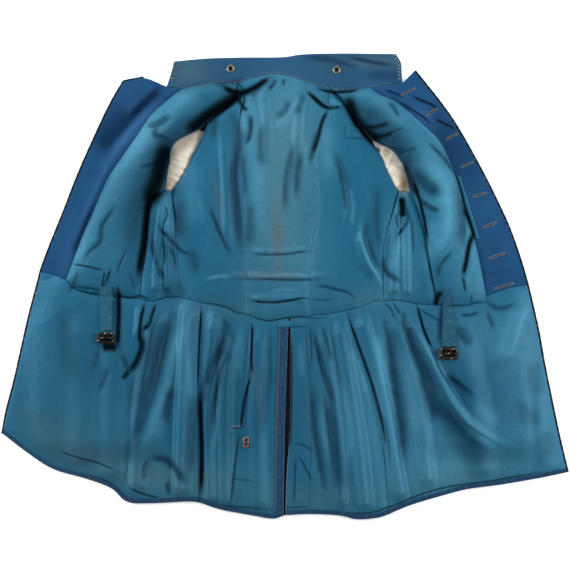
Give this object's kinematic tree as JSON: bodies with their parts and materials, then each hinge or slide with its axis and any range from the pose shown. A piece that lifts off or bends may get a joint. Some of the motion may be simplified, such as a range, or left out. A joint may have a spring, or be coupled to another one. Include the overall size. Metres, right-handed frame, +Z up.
{
  "type": "military tunic",
  "caption": "Officer's tunic laid open on its back, lining side up: stand collar, padded chest, pleated skirts and sleeves tucked under the fronts.",
  "frame": {"origin": "middle of the bounding box in plan, on the surface that the tunic lies on", "axes": "+Z up out of the lining, +Y towards the collar, +X towards the edge with the buttonholes"},
  "size_m": [0.9929, 0.8137, 0.0295],
  "materials": {
    "outer_wool": "fulled wool cloth, pale cornflower blue, matt",
    "facing_wool": "smooth blue wool, matt",
    "satin_lining": "teal blue cotton satin, soft sheen, faded and stained",
    "sleeve_lining": "cream cotton, lightly stained",
    "piping": "near black wool piping",
    "hem_wool": "navy wool binding",
    "dark_bronze": "darkened bronze with worn edges",
    "aged_brass": "aged brass"
  },
  "bodies": {
    "root": {"belt_keeper_left": "satin_lining", "belt_keeper_right": "satin_lining", "breast_pocket_welt": "satin_lining", "buckle_left": "dark_bronze", "buckle_right": "dark_bronze", "button_1": "aged_brass", "button_2": "aged_brass", "button_3": "aged_brass", "button_4": "aged_brass", "button_5": "aged_brass", "button_6": "aged_brass", "button_7": "aged_brass", "button_8": "aged_brass", "collar_hook_lower": "dark_bronze", "collar_hook_upper": "dark_bronze", "collar_inner": "facing_wool", "collar_outer": "outer_wool", "facing_left": "facing_wool", "facing_right": "facing_wool", "grommet_left": "aged_brass", "grommet_right": "aged_brass", "hem_back_left": "hem_wool", "hem_back_right": "hem_wool", "hem_front_left": "hem_wool", "hem_front_right": "hem_wool", "lining_back": "satin_lining", "lining_back_side_left": "satin_lining", "lining_back_side_right": "satin_lining", "lining_front_left": "satin_lining", "lining_front_right": "satin_lining", "lining_side_left": "satin_lining", "lining_side_right": "satin_lining", "lining_skirt_back_left": "satin_lining", "lining_skirt_back_right": "satin_lining", "lining_skirt_front_left": "satin_lining", "lining_skirt_front_right": "satin_lining", "piping_left": "piping", "piping_right": "piping", "shell_back": "outer_wool", "shell_front_left": "outer_wool", "shell_front_right": "outer_wool", "shell_side_left": "outer_wool", "shell_side_right": "outer_wool", "shell_skirt_back_left": "outer_wool", "shell_skirt_back_right": "outer_wool", "shell_skirt_front_left": "outer_wool", "shell_skirt_front_right": "outer_wool", "shoulder_patch": "satin_lining", "sleeve_left": "outer_wool", "sleeve_lining_left": "sleeve_lining", "sleeve_lining_right": "sleeve_lining", "sleeve_right": "outer_wool", "tail_hook": "aged_brass", "tail_pocket_welt": "satin_lining", "vent_bar": "satin_lining", "vent_placket": "satin_lining", "vent_strip": "hem_wool", "vent_underlap": "hem_wool", "waist_strap_left": "satin_lining", "waist_strap_right": "satin_lining"}
  },
  "joints": []
}
